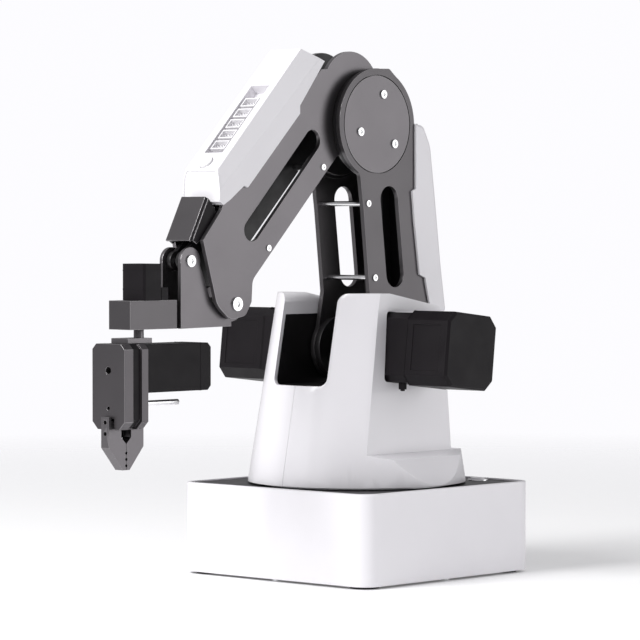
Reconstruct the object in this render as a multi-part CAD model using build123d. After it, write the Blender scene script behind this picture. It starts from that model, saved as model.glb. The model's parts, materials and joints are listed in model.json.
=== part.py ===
"""Desktop parallel-linkage robot arm with a two-jaw gripper.

Millimetres. +X is the way the arm reaches, +Y the robot's left, +Z up. The origin is on the
base's turning axis, in the plane that the rubber feet stand on.
"""
from build123d import *
from math import atan2, cos, degrees, hypot, radians, sin
import os

# ---- base ----
FOOT = 1.5
BASE_SIDE = 158.0
BASE_CORNER = 12.0
BASE_TOP = FOOT + 56.0
BASE_WALL = 2.5
BASE_EDGE = 0.9
MOUNT_PITCH = 130.0
MOUNT_HOLE_R = 2.15
PANEL_TOP = BASE_TOP - 0.8
PANEL_THICK = 3.0
TURN_R = 61.0
BUTTON_X, BUTTON_Y = -66.0, 44.0

# ---- tower ----
TOWER_BOTTOM = BASE_TOP + 0.5
TOWER_TOP = 176.5
TOWER_LOFT_TOP = 180.0
TOWER_R = 68.7
TOWER_A, TOWER_B = 45.0, 53.0
TOWER_WALL = 2.5
SLOT_HALF = 22.3
SLOT_FLOOR = 119.5
FRAME_THICK = 2.0
LIP_BOTTOM = 163.0
LIP_THICK = 2.0
EAR_ROUND = 6.0
LEDGE_LOW, LEDGE_HIGH = 75.0, 78.0

# ---- shoulder motors ----
GEAR_HALF, MOTOR_HALF = 21.5, 23.0
MOTOR_START = 61.0
MOTOR_ENDS = {1: 94.5, -1: 98.5}
MOTOR_TILT = 6.4

# ---- arm pivots at rest ----
SHOULDER_Z = 141.5
REAR_LEN = 140.0
REAR_LEAN = 1.7
FORE_LEN = 161.5
FORE_DROP = 43.0
REAR_RODS = ((90.9, -10.0), (44.5, -5.2))
FORE_RODS = ((49.0, 8.6), (118.5, 5.6))
LEVEL_R, LEVEL_ANGLE = 26.0, 150.0
DRIVE_R = 26.0
FRONT_DX, FRONT_DZ = 34.5, 26.0

# ---- layers across the arm ----
REAR_OUT, REAR_IN = 21.0, 18.0
FORE_OUT, FORE_IN = 13.5, 10.5
CHEEK_OUT, CHEEK_IN = 9.0, 6.5
SHAFT_R = 5.0
AXLE_R = 4.0
PIN_R = 2.5
RUN = 0.05
NOSE_CLEAR = 51.75
BOLT_CLEAR = 47.4

PORT_COUNT = 5

# ---- wrist and gripper ----
TOOL_X = 191.0
BLOCK_BOTTOM = 157.5
JAW_X = 204.4
JAW_HALF = 14.0
JAW_TIP_Z = 75.4
JAW_TOP_Z = 99.0
JAW_GAP = 0.15
JAW_HOLE_R = 1.25
PLATE_BOTTOM, PLATE_TOP = 99.5, 149.5
GRIP_BACK, GRIP_WAIST, GRIP_FRONT, GRIP_END = 196.2, 201.6, 208.5, 215.7

SHOULDER = (0.0, SHOULDER_Z)
ELBOW = (REAR_LEN * sin(radians(REAR_LEAN)), SHOULDER_Z + REAR_LEN * cos(radians(REAR_LEAN)))
WRIST = (
    ELBOW[0] + FORE_LEN * cos(radians(FORE_DROP)),
    ELBOW[1] - FORE_LEN * sin(radians(FORE_DROP)),
)
DRIVE_X = -DRIVE_R * cos(radians(FORE_DROP))
DRIVE_Z = DRIVE_R * sin(radians(FORE_DROP))
LEVEL_X = LEVEL_R * cos(radians(LEVEL_ANGLE))
LEVEL_Z = LEVEL_R * sin(radians(LEVEL_ANGLE))

parts = {}


# ---------------------------------------------------------------- helpers
def add(name, *solids):
    """Keep one node: one solid, or a group of separate ones."""
    parts[name] = solids[0] if len(solids) == 1 else Compound(children=list(solids))


def slab(face, y0, y1):
    """A face drawn in XZ, as a plate from y0 to y1."""
    return extrude(Plane.XZ.offset(-y1) * face, amount=y1 - y0)


def rod_y(x, z, r, y0, y1):
    return slab(Pos(x, z) * Circle(r), y0, y1)


def rod_x(y, z, r, x0, x1):
    return extrude(Plane.YZ.offset(x0) * Pos(y, z) * Circle(r), amount=x1 - x0)


def rod_z(x, y, r, z0, z1):
    return extrude(Plane.XY.offset(z0) * Pos(x, y) * Circle(r), amount=z1 - z0)


def block(x0, x1, y0, y1, z0, z1):
    return Pos((x0 + x1) / 2, (y0 + y1) / 2, (z0 + z1) / 2) * Box(x1 - x0, y1 - y0, z1 - z0)


def outline(points):
    """A closed face from (x, y, corner radius) points."""
    places = [(p[0], p[1]) for p in points]
    radii = [p[2] if len(p) > 2 else 0 for p in points]
    return make_face(FilletPolyline(*places, radius=radii, close=True))


def slot_face(p, q, r):
    """A slot with round ends at p and q."""
    middle = ((p[0] + q[0]) / 2, (p[1] + q[1]) / 2)
    dx, dz = q[0] - p[0], q[1] - p[1]
    return Pos(*middle) * Rot(0, 0, degrees(atan2(dz, dx))) * SlotCenterToCenter(hypot(dx, dz), 2 * r)


def rear_at(along, back):
    """A point of the rear arm: along it from the shoulder, and back from its centre line."""
    a = radians(REAR_LEAN)
    return (
        SHOULDER[0] + along * sin(a) - back * cos(a),
        SHOULDER[1] + along * cos(a) + back * sin(a),
    )


def fore_at(along, above):
    """A point of the forearm: along it from the elbow, and above its pivot line."""
    a = radians(FORE_DROP)
    return (
        ELBOW[0] + along * cos(a) + above * sin(a),
        ELBOW[1] - along * sin(a) + above * cos(a),
    )


def rear_outline(points):
    return outline([(*rear_at(p[0], p[1]), p[2] if len(p) > 2 else 0) for p in points])


def fore_outline(points):
    return outline([(*fore_at(p[0], p[1]), p[2] if len(p) > 2 else 0) for p in points])


def rounded_box(side, corner, z0, z1):
    return extrude(Plane.XY.offset(z0) * RectangleRounded(side, side, corner), amount=z1 - z0)


def span(side, near, far):
    """The stretch of Y from near to far on the left (side 1) or the right (side -1)."""
    return tuple(sorted((side * near, side * far)))


def screw_y(x, z, r, y_face, side, head=1.0):
    """A cap head standing on a face that looks along +Y or -Y, with its hexagon socket."""
    hexagon = Pos(x, z) * RegularPolygon(r * 0.45, 6)
    socket = slab(hexagon, *span(side, y_face + head * 0.4, y_face + head + 1))
    return rod_y(x, z, r, *span(side, y_face, y_face + head)) - socket


# ---------------------------------------------------------------- base
def base():
    inner = BASE_SIDE - 2 * BASE_WALL
    half = MOUNT_PITCH / 2
    corners = [(sx * half, sy * half) for sx in (-1, 1) for sy in (-1, 1)]
    mids = [(sx * 73.0, 0) for sx in (-1, 1)] + [(0, sy * 73.0) for sy in (-1, 1)]

    shell = rounded_box(BASE_SIDE, BASE_CORNER, FOOT, BASE_TOP)
    ends = shell.faces().sort_by(Axis.Z)
    shell = fillet(ends[-1].edges() + ends[0].edges(), BASE_EDGE)
    shell -= rounded_box(inner, BASE_CORNER - BASE_WALL, FOOT - 1, BASE_TOP + 1)
    fill = rounded_box(inner + 0.2, BASE_CORNER - BASE_WALL, 3.5, 44.0)
    for x, y in corners:
        post = fill & (Pos(x * 1.08, y * 1.08, 23.75) * Box(21, 21, 40.5))
        shell += post
    for x, y in mids:
        shell += Pos(x, y, 8.5) * Box(10, 10, 10)
    ledge = rounded_box(inner + 0.2, BASE_CORNER - BASE_WALL, 51.0, PANEL_TOP - PANEL_THICK)
    ledge -= rounded_box(inner - 5, BASE_CORNER - BASE_WALL - 2.5, 50.0, BASE_TOP)
    shell += ledge
    for x, y in corners:
        shell -= rod_z(x, y, MOUNT_HOLE_R, 3.0, 16.0)
    for x, y in mids:
        shell -= rod_z(x, y, 1.55, 3.0, 12.0)
    shell -= block(-80, -74, -52, 52, 17.0, 41.0)
    add("base_shell", shell)

    plate = rounded_box(inner - 0.3, BASE_CORNER - BASE_WALL, FOOT, 3.5)
    for x, y in corners:
        plate -= rod_z(x, y, MOUNT_HOLE_R, 0, 5)
    for x, y in mids:
        plate -= rod_z(x, y, 1.55, 0, 5)
    for i in range(5):
        vent = Pos(46 + 4.5 * i, 0) * Rot(0, 0, 90) * SlotOverall(50, 2)
        plate -= extrude(Plane.XY * vent, amount=6)
    for x, y in ((-64, -40), (-64, 40), (-30, -40), (-30, 40)):
        plate += rod_z(x, y, 3.0, 3.5, 8.0)
    add("base_bottom_plate", plate)

    add("rubber_feet", *[rod_z(x, y, 9, 0, FOOT) - rod_z(x, y, MOUNT_HOLE_R, -1, 3) for x, y in corners])
    screws = []
    for x, y in mids:
        head = rod_z(x, y, 2.8, 0.3, FOOT) - rod_z(x, y, 1.0, 0, 0.9)
        screws.append(head + rod_z(x, y, 1.5, FOOT, 11.0))
    add("base_plate_screws", *screws)

    carrier = rounded_box(inner - 0.6, BASE_CORNER - BASE_WALL, 44.0, 47.0) - rod_z(0, 0, 30, 40, 50)
    add("bearing_carrier", carrier)
    ring = rod_z(0, 0, 56, 47.0, 53.0) - rod_z(0, 0, 45, 46, 54)
    add("yaw_bearing_outer", ring)

    panel = rounded_box(inner - 0.4, BASE_CORNER - BASE_WALL, PANEL_TOP - PANEL_THICK, PANEL_TOP)
    panel -= rod_z(0, 0, TURN_R + 1.0, 50, 60)
    panel -= rod_z(BUTTON_X, BUTTON_Y, 6.6, 50, 60)
    add("base_top_panel", panel)

    motor = rounded_box(42, 4, 3.5, 34.0) + rod_z(0, 0, 19, 34.0, 44.5)
    motor -= rod_z(0, 0, SHAFT_R + 0.2, 30, 46)
    add("base_gearmotor", motor)
    board = block(-68, -26, -46, 46, 8.0, 9.6)
    for x, y, w, h in ((-40, 20, 14, 2.0), (-40, -18, 12, 3.0), (-58, 30, 8, 9.0), (-58, -32, 8, 9.0)):
        board += block(x - w / 2, x + w / 2, y - w / 2, y + w / 2, 9.6, 9.6 + h)
    add("control_board", board)
    base_ports()

    add("power_button_bezel", rod_z(BUTTON_X, BUTTON_Y, 6.5, PANEL_TOP - 3.5, PANEL_TOP + 0.6)
        - rod_z(BUTTON_X, BUTTON_Y, 4.7, 50, 60))
    add("power_button", rod_z(BUTTON_X, BUTTON_Y, 4.5, PANEL_TOP - 2.2, PANEL_TOP + 1.6))


def base_ports():
    """The connectors on the back of the base."""
    mid = 29.0
    panel = block(-76.4, -74.4, -54, 54, 15.0, 43.0)
    panel += block(-78.6, -76.4, -51.8, 51.8, 17.2, 40.8)
    panel -= rod_x(38, mid, 4.6, -80, -70)
    panel -= block(-80, -70, 14, 27, mid - 5.5, mid + 5.5)
    for i in range(3):
        y = -2.0 - 18.0 * i
        panel -= block(-80, -70, y - 7.1, y + 7.1, mid - 4.1, mid + 4.1)
    add("rear_port_panel", panel)

    jack = rod_x(38, mid, 4.5, -78.9, -66.0) - rod_x(38, mid, 3.2, -80, -72) + rod_x(38, mid, 1.0, -78.5, -71)
    add("power_jack", jack)
    usb = block(-78.9, -66.0, 14.1, 26.9, mid - 5.4, mid + 5.4)
    usb -= block(-80, -70, 15.6, 25.4, mid - 4.0, mid + 4.0)
    usb += block(-78.5, -69, 17.5, 23.5, mid - 1.7, mid + 1.7)
    headers = [usb]
    for i in range(3):
        y = -2.0 - 18.0 * i
        head = block(-78.9, -66.0, y - 7.0, y + 7.0, mid - 4.0, mid + 4.0)
        head -= block(-80, -71, y - 6.0, y + 6.0, mid - 3.0, mid + 3.0)
        for j in range(5):
            pin_y = y - 4.0 + 2.0 * j
            head += block(-77.5, -70, pin_y - 0.35, pin_y + 0.35, mid - 0.35, mid + 0.35)
        headers.append(head)
    add("rear_sockets", *headers)


# ---------------------------------------------------------------- tower
def tower_solid(inset, slotted):
    """The tower's outer form, pulled in all over by inset."""
    low = Plane.XY.offset(TOWER_BOTTOM) * Ellipse(TOWER_R - inset - 0.05, TOWER_R - inset)
    high = Plane.XY.offset(TOWER_LOFT_TOP) * Ellipse(TOWER_A - inset, TOWER_B - inset)
    body = loft([low, high])

    half = [(73.8, 50), (58.5, LEDGE_LOW - inset), (48.2, LEDGE_HIGH - inset), (43.8, 165.0), (43.2, 190)]
    points = [(y - inset, z) for y, z in half]
    section = Polyline(*points, *[(-y, z) for y, z in reversed(points)], close=True)
    body &= extrude(Plane.YZ.offset(-90) * make_face(section), amount=180)

    i = inset
    side = [(-75, 50), (80, 50), (80, TOWER_TOP - i), (18, TOWER_TOP - i, 12), (-31 + i, 167.5 - i),
            (-33.5 + i, 118.5), (-35 + i, 79.0 - i), (-75, 74.5 - i)]
    body &= slab(outline(side), -90, 90)
    if slotted:
        body -= slot_body(SLOT_HALF, SLOT_FLOOR)
        body = fillet([e for e in body.edges() if is_ear_top(e)], EAR_ROUND)
    return body


def is_ear_top(edge):
    """True for the long edges where the slot's walls meet the top of the ears."""
    c = edge.center()
    return abs(abs(c.Y) - SLOT_HALF) < 0.05 and c.Z > 166.0 and abs(edge.bounding_box().size.Z) < 11.0


def slot_body(half, floor):
    """The gap between the ears that the arm swings in."""
    face = outline([(-half, floor, 5), (half, floor, 5), (half, 200), (-half, 200)])
    return extrude(Plane.YZ.offset(-90) * face, amount=180)


def tower():
    turntable = rod_z(0, 0, TURN_R, 53.8, TOWER_BOTTOM - 0.1)
    turntable += rod_z(0, 0, 44.9, 47.3, 53.8) - rod_z(0, 0, 33, 46, 53.8)
    turntable += rod_z(0, 0, SHAFT_R, 35.0, 54.0)
    add("turntable", turntable)

    lip = SLOT_HALF + LIP_THICK
    hollow = tower_solid(TOWER_WALL, False) - block(-80, 80, -lip, lip, LIP_BOTTOM, 190)
    shell = tower_solid(0, True) - hollow
    shell -= rod_z(0, 0, TOWER_R - TOWER_WALL, 40, TOWER_BOTTOM + TOWER_WALL)
    for side in (-1, 1):
        window = motor_axis() * RectangleRounded(2 * MOTOR_HALF + 0.6, 2 * GEAR_HALF + 0.6, 2.6)
        shell -= slab(window, *span(side, 30.0, 60.0))
    seam = 0.1
    left = shell & block(-90, 90, seam, 90, 0, 200)
    right = shell & block(-90, 90, -90, -seam, 0, 200)
    add("tower_shell_left", biggest(left))
    add("tower_shell_right", biggest(right))
    tower_frame()
    shoulder_motors()


def biggest(shape):
    return max(shape.solids(), key=lambda s: s.volume)


def tower_frame():
    """The metal frame that lines the slot and carries the motors."""
    gap = 0.1
    inner = SLOT_HALF + gap
    outer = inner + FRAME_THICK
    frame = block(-80, 80, -outer, outer, TOWER_BOTTOM, 190) - block(-80, 80, -inner, inner, 0, 190)
    frame += block(-80, 80, -outer, outer, SLOT_FLOOR - 2.5, SLOT_FLOOR - 0.2)
    frame += block(-80, 80, -outer - 8, outer + 8, TOWER_BOTTOM, TOWER_BOTTOM + 3)
    frame &= tower_solid(TOWER_WALL + 0.2, False)
    frame -= block(-80, 80, -outer - 9, outer + 9, LIP_BOTTOM - 0.2, 190)
    frame -= block(-80, 80, -inner, inner, TOWER_BOTTOM + 3, SLOT_FLOOR - 2.5)
    frame = biggest(frame)
    for y0, y1 in ((inner - 1, outer + 1), (-outer - 1, 1 - inner)):
        frame -= rod_y(*SHOULDER, 12.5, y0, y1)
    x, z = SHOULDER[0] + LEVEL_X, SHOULDER[1] + LEVEL_Z
    post = outline([(x - 7, SLOT_FLOOR - 0.2), (x + 12, SLOT_FLOOR - 0.2), (x + 6, z, 3), (x + 4, z + 6, 3),
                    (x - 4, z + 6, 3), (x - 7, z, 3)])
    bracket = slab(post, 7.5, 11.5) + block(x - 7, x + 12, 7.5, 20, SLOT_FLOOR - 0.2, SLOT_FLOOR + 2.5)
    bracket += rod_y(x, z, PIN_R, 2.6, 8.0)
    add("tower_frame", frame + bracket)


def motor_axis():
    """The shoulder axis, turned by the motors' tilt."""
    return Pos(*SHOULDER) * Rot(0, 0, MOTOR_TILT)


def chamfered_rect(half_x, half_z, cut):
    corners = [(half_x - cut, half_z), (half_x, half_z - cut)]
    corners += [(half_x, cut - half_z), (half_x - cut, -half_z)]
    return outline(corners + [(-x, z) for x, z in reversed(corners)])


def shoulder_motors():
    """A geared stepper on each side of the frame, their shafts in line on the shoulder axis."""
    gearheads, motors = [], []
    for side in (-1, 1):
        face = motor_axis() * chamfered_rect(MOTOR_HALF, GEAR_HALF, 4)
        gear = slab(face, *span(side, SLOT_HALF + 0.1 + FRAME_THICK, MOTOR_START))
        gear += rod_y(*SHOULDER, 12.3, *span(side, SLOT_HALF + 0.3, 30.0))
        gear -= rod_y(*SHOULDER, SHAFT_R + RUN, *span(side, 20.0, 40.0))
        gearheads.append(gear)

        face = motor_axis() * chamfered_rect(MOTOR_HALF, MOTOR_HALF, 6.2)
        motor = slab(face, *span(side, MOTOR_START, MOTOR_ENDS[side]))
        motor = chamfer(motor.faces().sort_by(Axis.Y)[-1 if side > 0 else 0].edges(), 1.5)
        recess = motor_axis() * Pos(MOTOR_HALF + 0.2, 0) * Rectangle(1.6, 28)
        motor -= slab(recess, *span(side, MOTOR_START + 5, MOTOR_ENDS[side] - 6))
        motors.append(motor)
    add("shoulder_gearheads", *gearheads)
    add("shoulder_motors", *motors)


# ---------------------------------------------------------------- rear arm
def rear_arm():
    body = rear_outline([(0, -18), (36, -10.2), (86.9, -14.3), (108.4, -16.8), (116, -20), (140, -20),
                         (140, 38), (101, 37.5), (80, 35), (45, 40), (25.6, 48.5), (10, 40, 10), (-12, 14)])
    face = body + Pos(*ELBOW) * Circle(34.8) + Pos(*SHOULDER) * Circle(20.0)
    face += rear_outline([(REAR_LEN, 0), (REAR_LEN + 34.6, 0), (REAR_LEN + 34.6, 12.2, 3),
                          (REAR_LEN + 27, 21.5)])
    face -= slot_face(rear_at(93.1, 9.8), rear_at(45.9, 14.0), 8.2)
    spots = ((18.6, 6.0), (-4.5, -16.0), (-12.4, 15.4))
    caps, cap_screws, spacers = [], [], []
    for name, side in (("left", 1), ("right", -1)):
        plate = slab(face, *span(side, REAR_IN, REAR_OUT))
        plate -= rod_y(*ELBOW, 30.9, *span(side, REAR_OUT - 1.2, REAR_OUT + 1))
        plate -= rod_y(*ELBOW, AXLE_R + 0.02, -30, 30)
        plate -= rod_y(*SHOULDER, SHAFT_R + 0.02 if side > 0 else 9.0, -30, 30)
        for along, back in REAR_RODS:
            plate -= rod_y(*rear_at(along, back), 1.0, -30, 30)
        add(f"rear_arm_plate_{name}", plate)
        caps.append(rod_y(*ELBOW, 30.3, *span(side, REAR_OUT - 1.2, REAR_OUT)))
        cap_screws += [screw_y(*rear_at(REAR_LEN + a, b), 2.7, REAR_OUT, side) for a, b in spots]
        spacer = rod_y(*ELBOW, 33.5, *span(side, FORE_OUT + 0.4, REAR_IN))
        spacers.append(spacer - rod_y(*ELBOW, AXLE_R + 0.02, -30, 30))
    add("elbow_caps", *caps)
    add("elbow_cap_screws", *cap_screws)
    add("elbow_spacers", *spacers)
    add("elbow_axle", rod_y(*ELBOW, AXLE_R, -REAR_OUT + 1.3, REAR_OUT - 1.3))

    hub = rod_y(*SHOULDER, 19.5, 14.0, REAR_IN) + rod_y(*SHOULDER, SHAFT_R, 13.0, 34.0)
    add("shoulder_drive_hub", hub)
    add("shoulder_idle_hub", rod_y(*SHOULDER, 19.5, -REAR_IN, -14.0) - rod_y(*SHOULDER, 9.0, -30, 0))
    bearing = rod_y(*SHOULDER, 8.98, -REAR_OUT, -14.5) - rod_y(*SHOULDER, SHAFT_R + RUN, -30, 0)
    add("shoulder_idle_bearing", bearing)

    rods, screws = [], []
    for along, back in REAR_RODS:
        rods.append(rod_y(*rear_at(along, back), 1.6, -REAR_IN, REAR_IN))
        screws += [screw_y(*rear_at(along, back), 2.1, REAR_OUT, side, 0.8) for side in (-1, 1)]
    add("rear_arm_spacer_rods", *rods)
    add("rear_arm_spacer_screws", *screws)
    add("rear_arm_cover", rear_cover())


def rear_cover():
    """The white clip-on shell over the back of the rear arm."""
    front = [(140.4, 34.9), (99.2, 33.8), (97.8, 30.3), (79.4, 31.7)]
    front += [(44.8, 35.8), (42.6, 41.0), (19.5, 46.5)]
    back = [(19.5, 61.5, 3), (52.7, 57.1), (91.0, 53.3), (126.0, 49.4, 20), (138.7, 43.0, 5)]
    inner = [(200, 30), (200, -20), (10, -20), (10, 59.9), (52.7, 55.1), (91.0, 51.3), (125.0, 47.5, 18),
             (138.0, 41.0)]
    cover = slab(rear_outline(front + back), -22.6, 22.6)
    cover = fillet([e for e in cover.edges() if abs(e.center().Y) > 22 and is_back(e)], 2.5)
    core = slab(rear_outline([(p[0], p[1]) for p in inner]), -21.1, 21.1)
    cover -= core
    cover -= rod_y(*ELBOW, 52.0, -14.6, 14.6)
    return biggest(cover)


def is_back(edge):
    """True for the cover's long rear edges, which are rounded."""
    c = edge.center()
    along = (c.Z - SHOULDER_Z) * cos(radians(REAR_LEAN)) + c.X * sin(radians(REAR_LEAN))
    back = -c.X * cos(radians(REAR_LEAN)) + (c.Z - SHOULDER_Z) * sin(radians(REAR_LEAN))
    return back > 50.5 and 24 < along < 130


# ---------------------------------------------------------------- links
def bar_face(p, q, r_end, half):
    """A flat link: a bar with a round eye at each end."""
    return slot_face(p, q, half) + Pos(*p) * Circle(r_end) + Pos(*q) * Circle(r_end)


def links():
    low = (SHOULDER[0] + LEVEL_X, SHOULDER[1] + LEVEL_Z)
    high = (ELBOW[0] + LEVEL_X, ELBOW[1] + LEVEL_Z)
    link = slab(bar_face(low, high, 5.5, 3.5), 2.7, 6.2)
    link -= rod_y(*low, PIN_R + RUN, 0, 8)
    link -= rod_y(*high, PIN_R + 0.25, 0, 8)
    add("rear_level_link", link)

    front = (ELBOW[0] + FRONT_DX, ELBOW[1] + FRONT_DZ)
    tri = outline([(*ELBOW,), (*front,), (*high,)]) + Pos(*ELBOW) * Circle(8) + Pos(*front) * Circle(6)
    tri += Pos(*high) * Circle(5.5) + slot_face(ELBOW, front, 4) + slot_face(ELBOW, high, 4)
    plate = slab(tri, -1.75, 1.75) - rod_y(*ELBOW, AXLE_R + RUN, -5, 5)
    plate += rod_y(*high, PIN_R, 1.7, 6.6) + rod_y(*front, PIN_R, -6.0, 6.0)
    add("elbow_triangle", plate)

    wrist_top = (WRIST[0] + FRONT_DX, WRIST[1] + FRONT_DZ)
    bars = []
    for side in (-1, 1):
        bar = slab(bar_face(front, wrist_top, 6.0, 4.5), *span(side, 2.2, 5.4))
        bar -= rod_y(*front, PIN_R + RUN, -8, 8)
        bars.append(bar - rod_y(*wrist_top, PIN_R + 0.25, -8, 8))
    add("front_level_links", *bars)

    pin_low = (SHOULDER[0] + DRIVE_X, SHOULDER[1] + DRIVE_Z)
    pin_high = (ELBOW[0] + DRIVE_X, ELBOW[1] + DRIVE_Z)
    crank = slab(bar_face(SHOULDER, pin_low, 5.5, 5.0) + Pos(*SHOULDER) * Circle(9), -11.2, -7.7)
    crank += rod_y(*pin_low, PIN_R, -8.0, -3.2) + rod_y(*SHOULDER, SHAFT_R, -34.0, -11.0)
    add("forearm_crank", crank)
    drive = slab(bar_face(pin_low, pin_high, 5.5, 3.5), -7.0, -3.5)
    drive -= rod_y(*pin_low, PIN_R + 0.25, -12, 0)
    drive -= rod_y(*pin_high, PIN_R + RUN, -12, 0)
    add("forearm_drive_link", drive)
    pin = rod_y(*pin_high, PIN_R, -10.4, -3.0) + rod_y(*pin_high, 1.5, -FORE_OUT, -10.4)
    add("drive_link_pin", pin)


# ---------------------------------------------------------------- forearm
def forearm_face():
    face = fore_outline([(0, -22), (34.5, 5.0, 4), (141.7, 1.0, 8), (151.3, -8.1, 3), (161.0, -10.5, 6),
                         (172.0, -3.0, 8), (174.0, 11.0, 12), (156.1, 47.4), (131.6, 50.0), (127.5, 53.0),
                         (122, 54.0), (9, 53.5), (-1, 45)])
    face += Pos(*ELBOW) * Circle(31.5)
    face += Pos(*fore_at(-1.0, 24.5)) * Circle(26.3)
    face -= slot_face(fore_at(45.0, 26.8), fore_at(121.5, 23.3), 6.8)
    return face


def forearm():
    face = forearm_face()
    bearings, screws = [], []
    for name, side in (("left", 1), ("right", -1)):
        y0, y1 = span(side, FORE_IN, FORE_OUT)
        plate = slab(face, y0, y1) - rod_y(*ELBOW, 9.0, -30, 30) - rod_y(*WRIST, AXLE_R + 0.02, -30, 30)
        if side < 0:
            plate -= rod_y(ELBOW[0] + DRIVE_X, ELBOW[1] + DRIVE_Z, 1.5 + RUN, -30, 30)
        add(f"forearm_plate_{name}", plate)
        bearings.append(rod_y(*ELBOW, 8.98, y0, y1) - rod_y(*ELBOW, AXLE_R + RUN, -30, 30))
        screws += [screw_y(*fore_at(along, above), 2.0, FORE_OUT, side, 0.7) for along, above in FORE_RODS]
    add("elbow_bearings", *bearings)
    heads = [screw_y(*WRIST, 4.2, FORE_OUT, side, 1.2) for side in (-1, 1)]
    add("wrist_axle", rod_y(*WRIST, AXLE_R, -FORE_OUT, FORE_OUT) + heads)
    rods = [rod_y(*fore_at(along, above), 2.2, -FORE_IN, FORE_IN) for along, above in FORE_RODS]
    add("forearm_spacer_rods", *rods)
    add("forearm_spacer_screws", *screws)

    nose = slab(fore_outline([(133.5, 60.4), (134.6, 62.9), (162.3, 53.0), (161.2, 49.4)]), -10.0, 10.0)
    nose -= rod_y(*WRIST, NOSE_CLEAR, -15, 15)
    for side in (-1, 1):
        flange = fore_outline([(133.5, 60.4), (160.5, 51.2), (158, 42), (141.5, 44), (133.5, 52.5)])
        leaf = slab(flange, *span(side, CHEEK_OUT + 0.3, FORE_IN - 0.05))
        nose += leaf - rod_y(*WRIST, BOLT_CLEAR, -15, 15)
    add("forearm_nose_plate", nose)
    forearm_cover()


def fore_plane(across):
    """The plane square to the forearm, at a distance along it from the elbow."""
    x, z = fore_at(across, 0)
    a = radians(FORE_DROP)
    return Plane(origin=(x, 0, z), x_dir=(0, 1, 0), z_dir=(cos(a), 0, -sin(a)))


def cover_form(inset):
    i = inset
    side = fore_outline([(5 + i, 56.5 - 3 * i), (14 + i, 74.5 - i), (118.4 - i, 70.0 - i), (131.5 - i, 55.7),
                         (130.5 - i, 52.2 - 3 * i), (124.4, 50.7 - 3 * i), (109.9, 48.7 - 3 * i),
                         (108.0, 45.7 - 3 * i), (43.6, 47.7 - 3 * i), (40.2, 51.3 - 3 * i)])
    body = slab(side, -20, 20)
    half = 15.4 - i
    top = 76.0 - i
    section = [(half, 30), (half, 61.0 - i / 2, 6), (half - 3.6, top + 4)]
    section += [(-p[0], *p[1:]) for p in reversed(section)]
    plane = fore_plane(0)
    flip = -1 if plane.y_dir.Z < 0 else 1
    face = outline([(p[0], flip * p[1], *p[2:]) for p in section])
    return body & extrude(plane * face, amount=150)


def forearm_cover():
    cover = cover_form(0) - cover_form(1.5)
    walls = slab(fore_outline([(44.6, 65.0), (44.6, 80), (105.4, 80), (105.4, 62.4)]), -8.8, 8.8)
    cover += walls & cover_form(0)
    cover -= slab(fore_outline([(46, 66.5), (46, 80), (104, 80), (104, 63.9)]), -7.5, 7.5)
    x, z = fore_at(112.5, 60.0)
    upward = (sin(radians(FORE_DROP)), 0, cos(radians(FORE_DROP)))
    axis = Plane(origin=(x, 0, z), z_dir=upward)
    cover -= extrude(axis * Circle(4.7), amount=20)
    add("forearm_cover", biggest(cover))
    add("unlock_button", extrude(axis.offset(7.2) * Circle(4.4), amount=4.2))

    ports = []
    for i in range(PORT_COUNT):
        u = 56.0 + 9.2 * i
        n = 67.0 - (u - 44) * 2.6 / 62
        port = slab(fore_outline([(u, n), (u, n + 5.6), (u + 7.4, n + 5.3), (u + 7.4, n - 0.3)]), -6.0, 6.0)
        socket = [(u + 1, n + 2), (u + 1, n + 9), (u + 6.4, n + 9), (u + 6.4, n + 2)]
        port -= slab(fore_outline(socket), -5.0, 5.0)
        ports.append(port)
    add("forearm_ports", *ports)


# ---------------------------------------------------------------- wrist
def wrist():
    top = (WRIST[0] + FRONT_DX, WRIST[1] + FRONT_DZ)
    side_face = outline([(WRIST[0], BLOCK_BOTTOM + 0.4), (165.0, BLOCK_BOTTOM - 0.2), (165.0, top[1], 1),
                         (top[0], top[1]), (150.0, top[1]), (137.5, 168.5, 6), (WRIST[0], 181.3)])
    side_face += Pos(*top) * Circle(8.2) + Pos(*WRIST) * Circle(10.5)
    cheeks = []
    for side in (-1, 1):
        cheek = slab(side_face, *span(side, CHEEK_IN, CHEEK_OUT))
        cheeks.append(cheek - rod_y(*WRIST, AXLE_R + RUN, -20, 20) - rod_y(*top, PIN_R + 0.02, -20, 20))
    add("wrist_cheeks", *cheeks)
    heads = [screw_y(*top, 3.6, CHEEK_OUT, side) for side in (-1, 1)]
    add("level_pivot_bolt", rod_y(*top, PIN_R, -CHEEK_OUT, CHEEK_OUT) + heads)
    add("wrist_bridge", block(147.0, 168.2, -CHEEK_IN + 0.05, CHEEK_IN - 0.05, BLOCK_BOTTOM, 173.8))
    head = block(168.2, 206.6, -CHEEK_OUT, CHEEK_OUT, BLOCK_BOTTOM, 174.5)
    head -= rod_z(TOOL_X, 0, 3.0 + RUN, 150, 166)
    add("roll_block", head)
    servo = block(180.8, 195.8, -9.6, 9.6, 174.5, 196.0)
    servo = chamfer(servo.edges().filter_by(Axis.Z), 1.2)
    servo += block(175.5, 181.0, -5.5, 9.0, 174.5, 182.0)
    add("roll_servo", servo)


# ---------------------------------------------------------------- tool
def gripper_face(inset):
    """The gripper's end plates, seen along the arm, pulled in by inset."""
    half, low_cut, high_cut = 13.5 - inset, 4.5, 3.2
    low = [(half - low_cut, PLATE_BOTTOM + inset), (half, PLATE_BOTTOM + low_cut + inset)]
    high = [(half, PLATE_TOP - high_cut), (half - high_cut, PLATE_TOP)]
    side = low + high
    face = outline(side + [(-y, z) for y, z in reversed(side)])
    return face - Pos(0, PLATE_BOTTOM) * Rectangle(9.6, 13.0)


def plate_x(face, x0, x1):
    return extrude(Plane.YZ.offset(x0) * face, amount=x1 - x0)


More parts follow.
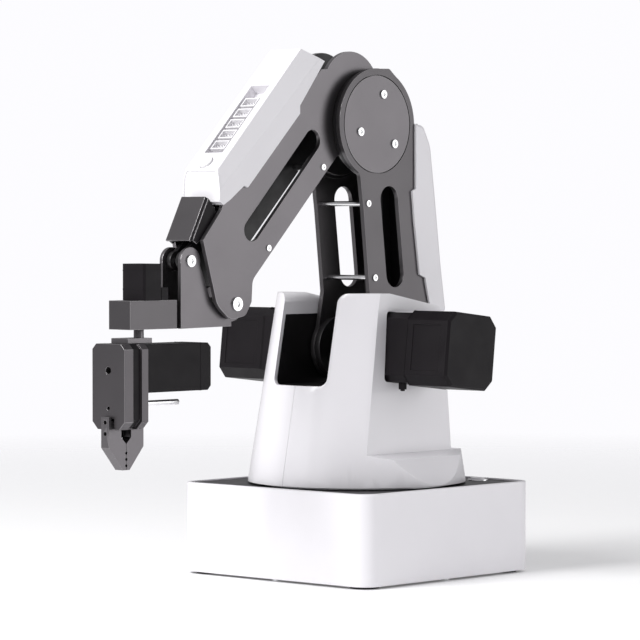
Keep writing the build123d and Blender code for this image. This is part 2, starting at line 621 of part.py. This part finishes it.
def tool():
    bracket = block(187.0, 203.2, -7.2, 7.2, PLATE_TOP, 152.5)
    bracket += block(200.0, 206.5, -7.2, 7.2, PLATE_TOP, 152.5)
    bracket += rod_z(TOOL_X, 0, 3.0, 152.0, 165.5)
    add("gripper_bracket", bracket)

    front = plate_x(gripper_face(0), GRIP_FRONT, GRIP_END)
    front -= rod_x(0, 134.0, 2.2, 200, 220) + rod_x(0, 112.0, 1.1, 200, 220)
    add("gripper_front_plate", front)
    rear = plate_x(gripper_face(0), GRIP_BACK, GRIP_WAIST)
    add("gripper_body", rear + plate_x(gripper_face(1.4), GRIP_WAIST, GRIP_FRONT))

    body = block(141.7, GRIP_BACK, -11.0, 11.0, 120.5, 148.8)
    body = chamfer(body.faces().sort_by(Axis.X)[0].edges().filter_by(Axis.Y), 2.6)
    add("gripper_actuator", body)
    nozzle = rod_x(5.0, 114.0, 1.7, 164.0, GRIP_BACK) - rod_x(5.0, 114.0, 0.8, 160, 190)
    add("air_nozzle", nozzle)

    for name, side in (("front", 1), ("rear", -1)):
        add(f"jaw_{name}", jaw(side))


def jaw(side):
    """One flat jaw, with the toothed edge that meets the other and the tongue that guides it."""
    grip = [(4.0, JAW_TOP_Z), (4.0, 94.7), (JAW_GAP, 90.8), (JAW_GAP, JAW_TIP_Z), (2.6, JAW_TIP_Z),
            (JAW_HALF, 88.9), (JAW_HALF, 107.0), (JAW_HALF - 2.0, 107.0), (JAW_HALF - 2.0, JAW_TOP_Z)]
    points = [(JAW_X + side * x, z) for x, z in grip]
    blade = slab(outline(points), -3.3, 3.3)
    for i in range(3):
        blade -= rod_y(JAW_X, 85.4 - 3.7 * i, 0.9, -5, 5)
    tongue_y = (1.7, 3.2) if side > 0 else (-3.2, -1.7)
    x0, x1 = sorted((JAW_X - side * 12.0, JAW_X + side * (JAW_HALF - 2.0)))
    blade += block(x0, x1, *tongue_y, JAW_TOP_Z + 0.15, 104.0)
    neck0, neck1 = sorted((JAW_X + side * 4.5, JAW_X + side * (JAW_HALF - 2.0)))
    blade += block(neck0, neck1, *tongue_y, JAW_TOP_Z - 1.0, JAW_TOP_Z + 0.5)
    hole0, hole1 = sorted((JAW_X + side * (JAW_HALF - 6.0), JAW_X + side * (JAW_HALF + 1.0)))
    for z in (97.1, 103.8):
        blade -= rod_x(0, z, JAW_HOLE_R, hole0, hole1)
    return blade


base()
tower()
rear_arm()
links()
forearm()
wrist()
tool()

os.makedirs("parts", exist_ok=True)
for name, shape in parts.items():
    export_step(shape, f"parts/{name}.step")
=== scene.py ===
import json
import math

import bmesh
import bpy
from mathutils import Matrix, Vector


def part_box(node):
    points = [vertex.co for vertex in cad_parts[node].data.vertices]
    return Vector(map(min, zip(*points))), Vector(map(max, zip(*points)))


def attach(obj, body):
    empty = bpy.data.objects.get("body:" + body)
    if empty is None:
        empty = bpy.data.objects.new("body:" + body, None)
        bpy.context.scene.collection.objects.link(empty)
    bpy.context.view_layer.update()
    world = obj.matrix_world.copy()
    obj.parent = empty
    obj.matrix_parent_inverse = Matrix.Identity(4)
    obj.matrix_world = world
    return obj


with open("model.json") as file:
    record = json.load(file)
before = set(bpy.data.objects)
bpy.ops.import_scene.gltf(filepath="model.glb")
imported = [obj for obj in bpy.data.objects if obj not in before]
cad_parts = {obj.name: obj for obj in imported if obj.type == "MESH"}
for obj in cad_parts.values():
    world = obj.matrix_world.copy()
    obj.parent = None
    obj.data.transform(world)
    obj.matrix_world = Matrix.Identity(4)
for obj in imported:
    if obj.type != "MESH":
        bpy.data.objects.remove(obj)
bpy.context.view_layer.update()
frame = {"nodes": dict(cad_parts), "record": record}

# Looks of a desktop parallel-linkage robot arm: a finish for every part, the small fittings
# that the frame leaves out, a pale floor, soft studio light and the camera.
#
# Blender works in metres. Sizes of parts and fittings are named here in millimetres and
# multiplied by MM where they are used. The stage, the lights and the camera are in metres.
MM = 0.001
FORE_DROP = math.radians(43)        # the forearm's slope below level, at rest
MOTOR_TILT = math.radians(6.4)      # the motors' and gearheads' turn on the shoulder axis
GEAR_HALF, MOTOR_HALF = 21.5, 23.0  # half the side of a gearhead and of a motor


# ------------------------------------------------------------ finishes
MIX_FACTOR, MIX_FIRST, MIX_SECOND, MIX_RESULT = 0, 6, 7, 2  # a Mix node's sockets for colours
COAT_ROUGH = 0.06
SPECK_FROM, SPECK_TO = 0.62, 0.72   # the part of the fine grain that shows as specks
BUMP_STRENGTH = 0.35


def shader_node(tree, kind, **values):
    """A shader node with its inputs set by name, where _ stands for a space."""
    made = tree.nodes.new(kind)
    for key, value in values.items():
        made.inputs[key.replace("_", " ")].default_value = value
    return made


def noise(tree, where, scale, detail, stretch=(1, 1, 1)):
    """Noise in the object's own metres, finer with a larger scale, drawn out by stretch."""
    mapping = shader_node(tree, "ShaderNodeMapping", Scale=stretch)
    tree.links.new(where, mapping.inputs["Vector"])
    made = shader_node(tree, "ShaderNodeTexNoise", Scale=scale, Detail=detail)
    tree.links.new(mapping.outputs["Vector"], made.inputs["Vector"])
    return made.outputs["Fac"]


def spread(tree, value, low, high, start=0.3, end=0.7):
    """Maps a value that goes from start to end onto low to high."""
    made = shader_node(tree, "ShaderNodeMapRange",
                       From_Min=start, From_Max=end, To_Min=low, To_Max=high)
    tree.links.new(value, made.inputs["Value"])
    return made.outputs["Result"]


def mixed(tree, factor, first, second):
    """Mixes two colours, each given as a tone or as a node's output."""
    made = tree.nodes.new("ShaderNodeMix")
    made.data_type = "RGBA"
    tree.links.new(factor, made.inputs[MIX_FACTOR])
    for socket, colour in ((MIX_FIRST, first), (MIX_SECOND, second)):
        if isinstance(colour, tuple):
            made.inputs[socket].default_value = (*colour, 1)
        else:
            tree.links.new(colour, made.inputs[socket])
    return made.outputs[MIX_RESULT]


def finish(name, tone, rough, metal=0.0, coat=0.0, level=0.5, variety=0.06, cloud=30.0,
           grain=2600.0, grain_depth=0.02, gloss_change=0.06, stretch=(1, 1, 1), speck=0.0):
    """A moulded or metal surface: clouds of tone, uneven gloss, a fine raised grain and specks."""
    made = bpy.data.materials.new(name)
    made.use_nodes = True
    tree = made.node_tree
    shader = tree.nodes["Principled BSDF"]
    for key, value in (("Metallic", metal), ("Specular IOR Level", level),
                       ("Coat Weight", coat), ("Coat Roughness", COAT_ROUGH)):
        shader.inputs[key].default_value = value
    where = tree.nodes.new("ShaderNodeTexCoord").outputs["Object"]

    clouds = noise(tree, where, cloud, 3.0)
    dark = tuple(c * (1 - variety) for c in tone)
    light = tuple(min(1.0, c * (1 + variety)) for c in tone)
    colour = mixed(tree, spread(tree, clouds, 0.0, 1.0), dark, light)
    fine = noise(tree, where, grain, 2.0, stretch)
    if speck:
        spots = spread(tree, fine, 0.0, speck, SPECK_FROM, SPECK_TO)
        colour = mixed(tree, spots, colour, tuple(min(1.0, c * 1.6 + 0.01) for c in tone))
    tree.links.new(colour, shader.inputs["Base Color"])

    smudges = noise(tree, where, cloud * 2.7, 6.0)
    gloss = spread(tree, smudges, rough - gloss_change, rough + gloss_change)
    tree.links.new(gloss, shader.inputs["Roughness"])
    bump = shader_node(tree, "ShaderNodeBump", Strength=BUMP_STRENGTH, Distance=grain_depth * MM)
    tree.links.new(fine, bump.inputs["Height"])
    tree.links.new(bump.outputs["Normal"], shader.inputs["Normal"])
    return made


def circuit_finish():
    """Green solder mask with lighter tracks."""
    mask = (0.012, 0.09, 0.035)
    made = finish("circuit", mask, 0.35, coat=0.4)
    tree = made.node_tree
    where = tree.nodes.new("ShaderNodeTexCoord").outputs["Object"]
    tracks = shader_node(tree, "ShaderNodeTexBrick", Scale=160.0, Mortar_Size=0.06,
                         Color1=(*mask, 1), Color2=(0.016, 0.11, 0.045, 1),
                         Mortar=(0.03, 0.2, 0.08, 1))
    tree.links.new(where, tracks.inputs["Vector"])
    tree.links.new(tracks.outputs["Color"], tree.nodes["Principled BSDF"].inputs["Base Color"])
    return made


# What the grey anodised finishes share.
ANODISED = {"metal": 0.88, "variety": 0.02, "cloud": 16, "grain": 3600, "grain_depth": 0.03,
            "gloss_change": 0.02, "speck": 0.12}


def make_finishes():
    """The finish of each of the record's material slots, and a few that belong to no slot."""
    return {
        "white_shell": finish("shell_white", (0.80, 0.785, 0.815), 0.3, coat=0.35, variety=0.008,
                              grain=3200, grain_depth=0.005, gloss_change=0.02),
        # Painted highlight: a lighter, glossier white for the rounded edges of the white parts.
        "white_edge_highlight": finish("shell_white_highlight", (0.86, 0.85, 0.875), 0.22, coat=0.4,
                             variety=0.01, grain=3200, grain_depth=0.004, gloss_change=0.04),
        "dark_gloss": finish("panel_gloss", (0.016, 0.0145, 0.0165), 0.36, level=0.1,
                             variety=0.1, grain=5000, grain_depth=0.002, gloss_change=0.04),
        "grey_anodised": finish("anodised_grey", (0.158, 0.149, 0.157), 0.33, **ANODISED),
        "grip_grey": finish("anodised_grip", (0.105, 0.098, 0.104), 0.33, **ANODISED),
        "plate_grey": finish("anodised_plate", (0.108, 0.102, 0.107), 0.33, **ANODISED),
        # Partly a bare metal edge, partly painted highlight: a lighter grey for the rounded edges
        # of the grey anodised parts.
        "grey_bare_edge_and_highlight": finish("anodised_grey_bare_edge_and_highlight", (0.30, 0.288, 0.296), 0.32, metal=0.85,
                            variety=0.05, grain=3600, grain_depth=0.02, gloss_change=0.05),
        "black_anodised": finish("anodised_black", (0.014, 0.013, 0.014), 0.4, metal=0.35,
                                 variety=0.12, grain=3600, grain_depth=0.02, speck=0.1),
        # Painted highlight: a lighter black for the rounded edges of the black anodised parts.
        "black_edge_highlight": finish("anodised_black_highlight", (0.05, 0.048, 0.052), 0.34, metal=0.5,
                             variety=0.1, grain=3600, grain_depth=0.02),
        "black_plastic": finish("plastic_black", (0.007, 0.0055, 0.007), 0.46, level=0.16,
                                variety=0.1, grain=2400, grain_depth=0.03, speck=0.15),
        "bright_steel": finish("steel_bright", (0.78, 0.78, 0.79), 0.2, metal=1.0, variety=0.05,
                               grain=4200, grain_depth=0.01, stretch=(1, 0.06, 1)),
        "machined_aluminium": finish("aluminium_turned", (0.62, 0.62, 0.64), 0.3, metal=1.0,
                                     grain=3000, grain_depth=0.02, stretch=(1, 1, 0.1)),
        "dark_motor": finish("enamel_black", (0.006, 0.005, 0.006), 0.42, level=0.18,
                             variety=0.1),
        "circuit_board": circuit_finish(),
        "white_plastic": finish("plastic_white", (0.78, 0.77, 0.79), 0.36, variety=0.02,
                                grain=2400, grain_depth=0.015),
        "rubber": finish("rubber_black", (0.018, 0.018, 0.018), 0.8, variety=0.15,
                         grain=1800, grain_depth=0.08, speck=0.2),
    }


FINISHES = make_finishes()


# ------------------------------------------------------------ frame parts
# The finish of the soft edges of a slot, lighter than the slot as a painted highlight (on grey
# anodised partly a bare metal edge), and the parts that are darker than their slot.
EDGE_HIGHLIGHT_OF = {"white_shell": "white_edge_highlight", "grey_anodised": "grey_bare_edge_and_highlight",
           "black_anodised": "black_edge_highlight"}
OWN_LOOK = {"gripper_front_plate": "grip_grey", "gripper_body": "grip_grey",
            "roll_block": "plate_grey", "rear_arm_plate_left": "plate_grey",
            "rear_arm_plate_right": "plate_grey", "forearm_nose_plate": "plate_grey"}

# The width of a slot's soft edges. A turn of more than EDGE_ANGLE is an edge, and one of less
# than FLAT_ANGLE is part of a flat face.
SOFT_EDGE = {"white_shell": 0.5, "grey_anodised": 0.22, "black_anodised": 0.22,
             "black_plastic": 0.4, "dark_gloss": 0.15, "bright_steel": 0.12,
             "white_plastic": 0.2}
OTHER_EDGE = 0.15
EDGE_ANGLE = math.radians(28)
FLAT_ANGLE = math.radians(0.4)
EDGE_STEPS = 3
WELD_REACH = 0.002

COVER_INSIDE = 18.0   # the cover's faces with their middles within this of Y 0 are its back
GRIP_FACE = 5.5       # how thick the gripper body's grey part is; behind it the body is painted black as shade
NOSE_HALF = 9.9       # the nose plate's faces beyond this are its sides, which are painted black as shade


def soften(obj, width, edge_slot=None):
    """Rounds the sharp edges of a piece, in a lighter edge finish that paints a highlight where it
    has one.
    """
    weld = obj.modifiers.new("weld", "WELD")
    weld.merge_threshold = WELD_REACH * MM
    flat = obj.modifiers.new("flat_faces", "DECIMATE")
    flat.decimate_type = "DISSOLVE"
    flat.angle_limit = FLAT_ANGLE
    bevel = obj.modifiers.new("soft_edge", "BEVEL")
    bevel.width = width * MM
    bevel.segments = EDGE_STEPS
    bevel.limit_method = "ANGLE"
    bevel.angle_limit = EDGE_ANGLE
    bevel.use_clamp_overlap = True
    bevel.harden_normals = True
    if edge_slot is not None:
        bevel.material = edge_slot


def dress_frame():
    """Gives every frame part its finish and soft edges, which carry a painted highlight where the
    slot has an edge finish.

    The gripper body's soft edges take the finish of the faces beside them.
    """
    slot_of = {row["node"]: row["material_slot"] for row in frame["record"]["subparts"]}
    for name, obj in frame["nodes"].items():
        slot = slot_of[name]
        obj.data.materials.clear()
        obj.data.materials.append(FINISHES[OWN_LOOK.get(name, slot)])
        # Painted highlight: the edge finish is a lighter tone on the rounded edges.
        edge = EDGE_HIGHLIGHT_OF.get(slot)
        if edge:
            obj.data.materials.append(FINISHES[edge])
        own_edge = edge and name != "gripper_body"
        soften(obj, SOFT_EDGE.get(slot, OTHER_EDGE), 1 if own_edge else None)


def paint_shade_black(name, chosen, look="black_plastic"):
    """Paints the chosen faces of a frame part black, as painted shade."""
    mesh = frame["nodes"][name].data
    mesh.materials.append(FINISHES[look])
    for face in mesh.polygons:
        if chosen(face):
            face.material_index = len(mesh.materials) - 1


def cover_inner_shade(face):
    """True for the inner faces of the rear arm's cover, which are painted black as shade."""
    inward = face.normal.y * face.center.y < 0 and abs(face.normal.y) > 0.5
    return inward or (face.normal.x > 0.5 and abs(face.center.y) < COVER_INSIDE * MM)


def nose_side_shade(face):
    """True for the sides of the forearm's nose plate, which are painted black as shade."""
    return abs(face.normal.y) > 0.5 or abs(face.center.y) > NOSE_HALF * MM


def paint_recess_shade():
    """Painted shade: the gripper's middle, the nose plate's sides and the inner faces of the arm
    are painted black where shade falls.
    """
    # Painted shade: the rear arm cover's inner faces are painted black.
    paint_shade_black("rear_arm_cover", cover_inner_shade)
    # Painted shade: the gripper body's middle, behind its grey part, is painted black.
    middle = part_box("gripper_body")[0][0] + GRIP_FACE * MM
    paint_shade_black("gripper_body", lambda face: face.center.x > middle)
    # Painted shade: the nose plate's sides are painted black.
    paint_shade_black("forearm_nose_plate", nose_side_shade)
    # Painted shade: the facing inner faces of the forearm plates are black anodised where shade
    # falls between them.
    paint_shade_black("forearm_plate_left", lambda face: face.normal.y < -0.9, "black_anodised")
    paint_shade_black("forearm_plate_right", lambda face: face.normal.y > 0.9, "black_anodised")


dress_frame()
paint_recess_shade()


# ------------------------------------------------------------ mesh work
TURN_STEPS = 24


def make_piece(name, form, body, slot, soft=0.0, look=None):
    """Turns mesh work into a named piece that rides on a body."""
    bmesh.ops.recalc_face_normals(form, faces=form.faces)
    mesh = bpy.data.meshes.new(name)
    form.to_mesh(mesh)
    form.free()
    mesh.materials.append(FINISHES[look or slot])
    piece = bpy.data.objects.new(name, mesh)
    bpy.context.scene.collection.objects.link(piece)
    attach(piece, body)
    if soft:
        soften(piece, soft)


def prism(form, rim, push):
    """A solid with a flat rim of points, pushed out along a vector."""
    near = [form.verts.new(point) for point in rim]
    far = [form.verts.new(Vector(point) + Vector(push)) for point in rim]
    form.faces.new(near)
    form.faces.new(reversed(far))
    for i in range(len(rim)):
        j = (i + 1) % len(rim)
        form.faces.new((near[j], near[i], far[i], far[j]))


def box_rim(x0, x1, y0, y1, z):
    """The level rim of an upright box."""
    return [(x0, y0, z), (x1, y0, z), (x1, y1, z), (x0, y1, z)]


def turned(form, centre, axis, profile):
    """A closed turned ring: profile points are (radius, height) along the axis."""
    turn = Vector(axis).to_track_quat("Z", "Y").to_matrix()
    rings = []
    for radius, height in profile:
        ring = []
        for i in range(TURN_STEPS):
            angle = 2 * math.pi * i / TURN_STEPS
            local = Vector((radius * math.cos(angle), radius * math.sin(angle), height))
            ring.append(form.verts.new(Vector(centre) + turn @ local))
        rings.append(ring)
    for a, b in zip(rings, rings[1:] + rings[:1]):
        for i in range(TURN_STEPS):
            j = (i + 1) % TURN_STEPS
            form.faces.new((a[i], a[j], b[j], b[i]))


def middle_of(name):
    """The middle of a frame part's box, at rest."""
    low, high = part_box(name)
    return (Vector(low) + Vector(high)) / 2


def fore_dir(along, above):
    """A vector in the forearm's own directions at rest, in metres."""
    c, s = math.cos(FORE_DROP), math.sin(FORE_DROP)
    return Vector((along * c + above * s, 0, -along * s + above * c)) * MM


def fore_point(along, above, y=0.0):
    """A point in the forearm's own directions at rest, measured from the elbow."""
    spot = middle_of("elbow_axle") + fore_dir(along, above)
    return Vector((spot.x, y * MM, spot.z))


# ------------------------------------------------------------ fittings of the tower
# A plug's body and its narrower end: the span in X, the span in Y on either side, the start
# above the gearhead's underside, and the length downwards.
PLUG_PARTS = (((15.0, 18.2), (51.0, 55.0), 1.5, 5.5),
              ((15.7, 17.5), (51.8, 54.2), -3.0, 2.0))
PLUG_BACK = 15.0      # where the underside's height is taken

SEAM_AT, SEAM_WIDE = 61.0, 0.7            # where a gearhead meets its motor, and the rim's width
SEAM_HALF, SEAM_CUT = MOTOR_HALF + 0.15, 6.2  # the rim stands a little proud of the motor


def add_cable_plugs():
    """The motor cable's plug under each gearhead."""
    centre = middle_of("shoulder_gearheads")
    under = (centre.z - GEAR_HALF * MM / math.cos(MOTOR_TILT)
             + PLUG_BACK * MM * math.tan(MOTOR_TILT))
    form = bmesh.new()
    for side in (-1, 1):
        for (x0, x1), y_span, start, length in PLUG_PARTS:
            y0, y1 = sorted(side * y * MM for y in y_span)
            rim = box_rim(x0 * MM, x1 * MM, y0, y1, under + start * MM)
            prism(form, rim, (0, 0, -length * MM))
    make_piece("gearhead_cable_plugs", form, "turret", "black_plastic", 0.25)


def add_motor_seams():
    """The raised rim between each motor and its gearhead.

    Both rims run towards +Y from their start, so the right one lies on the gearhead's side.
    """
    centre = middle_of("shoulder_motors")
    turn = Matrix.Rotation(-MOTOR_TILT, 3, "Y")
    short = SEAM_HALF - SEAM_CUT
    face = []
    for sx, sz in ((1, 1), (1, -1), (-1, -1), (-1, 1)):
        corner = [(sx * short, sz * SEAM_HALF), (sx * SEAM_HALF, sz * short)]
        face += corner if sx * sz > 0 else corner[::-1]
    spots = [turn @ Vector((x * MM, 0, z * MM)) for x, z in face]
    for name, side in (("right", -1), ("left", 1)):
        y = side * (SEAM_AT - SEAM_WIDE / 2) * MM
        form = bmesh.new()
        rim = [(centre.x + spot.x, y, centre.z + spot.z) for spot in spots]
        prism(form, rim, (0, SEAM_WIDE * MM, 0))
        make_piece("motor_seam_" + name, form, "turret", "dark_motor")


# ------------------------------------------------------------ fittings of the forearm
# The ports stand in a row on a line that falls away from the elbow.
PORT_COUNT, PORT_FIRST, PORT_STEP, PORT_LENGTH = 5, 56.0, 9.2, 7.4
LINE_START, LINE_HEIGHT, LINE_FALL = 44.0, 67.0, 2.6 / 62
PIN_COUNT, PIN_STEP, PIN_HALF, PIN_LENGTH = 4, 2.2, 0.32, 2.9
PIN_FOOT = 1.8        # the pins' feet above the line, just inside the port's floor

# The unlock button's ring in section, as (radius, height) from the button's middle.
RING_SECTION = ((4.75, -0.6), (5.5, -0.6), (5.5, 0.75), (5.2, 1.0), (4.95, 1.0), (4.75, 0.8))

# The left half of the lip round the cover's front face, as (along, above, y) from the elbow.
LIP_HALF = ((131.0, 56.3, 15.2), (126.4, 61.3, 15.1), (121.2, 67.0, 14.1),
            (119.6, 68.7, 13.2), (118.9, 69.5, 11.6))
LIP_RADIUS = 0.55


def add_port_pins():
    """A row of contact pins across each port on the forearm."""
    form = bmesh.new()
    a, b = fore_dir(PIN_HALF, 0), Vector((0, PIN_HALF * MM, 0))
    for port in range(PORT_COUNT):
        along = PORT_FIRST + PORT_STEP * port + PORT_LENGTH / 2
        above = LINE_HEIGHT - (along - LINE_START) * LINE_FALL + PIN_FOOT
        for pin in range(PIN_COUNT):
            mid = fore_point(along, above, (pin - (PIN_COUNT - 1) / 2) * PIN_STEP)
            rim = [mid - a - b, mid + a - b, mid + a + b, mid - a + b]
            prism(form, rim, fore_dir(0, PIN_LENGTH))
    make_piece("forearm_port_pins", form, "forearm", "bright_steel")


def add_button_ring():
    """The moulded ring around the unlock button."""
    form = bmesh.new()
    section = [(radius * MM, height * MM) for radius, height in RING_SECTION]
    turned(form, middle_of("unlock_button"), fore_dir(0, 1), section)
    # Painted highlight: the ring takes the lighter white of the shells' edges.
    make_piece("unlock_button_ring", form, "forearm", "white_shell", look="white_edge_highlight")


def add_cover_rim():
    """The raised lip around the forearm cover's front face."""
    path = [(along, above, -y) for along, above, y in LIP_HALF] + list(LIP_HALF[::-1])
    data = bpy.data.curves.new("forearm_cover_rim", "CURVE")
    data.dimensions = "3D"
    data.bevel_depth = LIP_RADIUS * MM
    data.bevel_resolution = 3
    data.use_fill_caps = True
    line = data.splines.new("POLY")
    line.points.add(len(path) - 1)
    for point, spot in zip(line.points, path):
        point.co = (*fore_point(*spot), 1)
    # Painted highlight: the lip takes the lighter white of the shells' edges.
    data.materials.append(FINISHES["white_edge_highlight"])
    rim = bpy.data.objects.new("forearm_cover_rim", data)
    bpy.context.scene.collection.objects.link(rim)
    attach(rim, "forearm")


# ------------------------------------------------------------ fittings of the wrist and gripper
# The guide plate behind the jaws: its middle and half length in X, its span in Y, how far it
# hangs below the gripper's body, and its height.
SHIELD_AT, SHIELD_HALF, SHIELD_Y = 8.2, 7.5, (-4.7, -3.7)
SHIELD_DROP, SHIELD_HEIGHT = 5.6, 11.5

BAND_WIDE, BAND_PROUD = 0.5, 0.12
SERVO_CASE, SERVO_CUT = 15.0, 1.2     # the servo's case in X, and its corner cuts


def add_jaw_shield():
    """The black guide behind the jaws, seen through the gap between them."""
    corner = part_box("gripper_body")[0]
    centre, bottom = corner[0] + SHIELD_AT * MM, corner[2] - SHIELD_DROP * MM
    y0, y1 = (y * MM for y in SHIELD_Y)
    form = bmesh.new()
    rim = box_rim(centre - SHIELD_HALF * MM, centre + SHIELD_HALF * MM, y0, y1, bottom)
    prism(form, rim, (0, 0, SHIELD_HEIGHT * MM))
    make_piece("jaw_guide_shield", form, "tool", "black_plastic", 0.2)


def add_band(name, body, low, high, axis, share, cut=0.0):
    """A thin raised line round a box with cut corners, at a share of its length along an axis."""
    start = low[axis] + share * (high[axis] - low[axis]) - BAND_WIDE / 2 * MM
    u, v = [k for k in (0, 1, 2) if k != axis]
    a0, a1 = low[u] - BAND_PROUD * MM, high[u] + BAND_PROUD * MM
    b0, b1 = low[v] - BAND_PROUD * MM, high[v] + BAND_PROUD * MM
    cut *= MM
    corners = [(a0 + cut, b0), (a1 - cut, b0), (a1, b0 + cut), (a1, b1 - cut),
               (a1 - cut, b1), (a0 + cut, b1), (a0, b1 - cut), (a0, b0 + cut)]
    rim = []
    for p, q in corners if cut else corners[::2]:
        point = Vector((0, 0, 0))
        point[axis], point[u], point[v] = start, p, q
        rim.append(point)
    push = Vector((0, 0, 0))
    push[axis] = BAND_WIDE * MM
    form = bmesh.new()
    prism(form, rim, push)
    make_piece(name, form, body, "black_plastic")


def add_case_bands():
    """Moulded case lines on the gripper's actuator and on the small servo above the wrist."""
    add_band("actuator_band", "tool", *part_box("gripper_actuator"), 0, 0.16)
    low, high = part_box("roll_servo")
    low = (high[0] - SERVO_CASE * MM, low[1], low[2])
    for name, share in (("servo_band_low", 0.3), ("servo_band_high", 0.82)):
        add_band(name, "wrist", low, high, 2, share, SERVO_CUT)


add_cable_plugs()
add_cover_rim()
add_jaw_shield()
add_case_bands()
add_motor_seams()
add_port_pins()
add_button_ring()


# ------------------------------------------------------------ stage, light and camera
CAMERA_AT = Vector((1.5572, 1.4079, 0.2183))
CAMERA_YAW = math.radians(42.75)
CAMERA_PITCH = math.radians(1.62)
CAMERA_LENS, CAMERA_SENSOR = 187.7, 36.0

ARM_MIDDLE = (0.04, 0.0, 0.17)
AMBIENT, BACKDROP = 0.42, 1.0
FLOOR_RADIUS, FLOOR_SOLID, FLOOR_GONE = 1.5, 0.45, 1.425
FLOOR_GLOW = 0.12


def make_camera():
    """Stands in front of the arm and to its left, looking slightly down."""
    data = bpy.data.cameras.new("camera")
    data.lens = CAMERA_LENS
    data.sensor_width = CAMERA_SENSOR
    data.clip_start = 0.05
    data.clip_end = 50.0
    camera = bpy.data.objects.new("camera", data)
    bpy.context.scene.collection.objects.link(camera)
    level = math.cos(CAMERA_PITCH)
    back = Vector((math.cos(CAMERA_YAW) * level, math.sin(CAMERA_YAW) * level,
                   math.sin(CAMERA_PITCH)))
    camera.location = CAMERA_AT
    camera.rotation_mode = "QUATERNION"
    camera.rotation_quaternion = (-back).to_track_quat("-Z", "Y")
    bpy.context.scene.camera = camera


def soft_box(name, place, width, height, power):
    """A large soft light at a place, turned to the arm."""
    data = bpy.data.lights.new(name, "AREA")
    data.shape = "RECTANGLE"
    data.size = width
    data.size_y = height
    data.energy = power
    light = bpy.data.objects.new(name, data)
    bpy.context.scene.collection.objects.link(light)
    light.location = place
    light.rotation_mode = "QUATERNION"
    light.rotation_quaternion = (Vector(ARM_MIDDLE) - Vector(place)).to_track_quat("-Z", "Y")


def make_lights():
    """A key light from the front, a weaker one from the left and a little from above."""
    soft_box("key_front", (1.7, -0.3, 1.35), 1.0, 1.0, 44)
    soft_box("side_left", (-1.3, 1.7, 0.5), 1.5, 1.3, 9.5)
    soft_box("top", (-0.3, 0.2, 2.2), 1.2, 1.2, 3)


def make_world():
    """A white backdrop, and a dimmer even light that fills the shadows."""
    world = bpy.data.worlds.new("studio")
    bpy.context.scene.world = world
    world.use_nodes = True
    tree = world.node_tree
    sky = tree.nodes["Background"]
    sky.inputs["Color"].default_value = (0.98, 0.975, 1.0, 1)
    seen = tree.nodes.new("ShaderNodeLightPath").outputs["Is Camera Ray"]
    tree.links.new(spread(tree, seen, AMBIENT, BACKDROP, 0.0, 1.0), sky.inputs["Strength"])


def make_floor():
    """A pale disc that fades out into the backdrop."""
    mesh = bpy.data.meshes.new("floor")
    form = bmesh.new()
    bmesh.ops.create_circle(form, cap_ends=True, radius=FLOOR_RADIUS, segments=96)
    form.to_mesh(mesh)
    form.free()
    floor = bpy.data.objects.new("floor", mesh)
    bpy.context.scene.collection.objects.link(floor)
    made = bpy.data.materials.new("floor_pale")
    made.use_nodes = True
    tree = made.node_tree
    shader = tree.nodes["Principled BSDF"]
    for key, value in (("Base Color", (0.95, 0.95, 0.955, 1)), ("Emission Color", (1, 1, 1, 1)),
                       ("Emission Strength", FLOOR_GLOW), ("Roughness", 0.6)):
        shader.inputs[key].default_value = value
    where = tree.nodes.new("ShaderNodeTexCoord").outputs["Object"]
    length = tree.nodes.new("ShaderNodeVectorMath")
    length.operation = "LENGTH"
    tree.links.new(where, length.inputs[0])
    fade = spread(tree, length.outputs["Value"], 1.0, 0.0, FLOOR_SOLID, FLOOR_GONE)
    tree.links.new(fade, shader.inputs["Alpha"])
    mesh.materials.append(made)


make_camera()
make_lights()
make_world()
make_floor()
bpy.context.scene.view_settings.view_transform = "Standard"
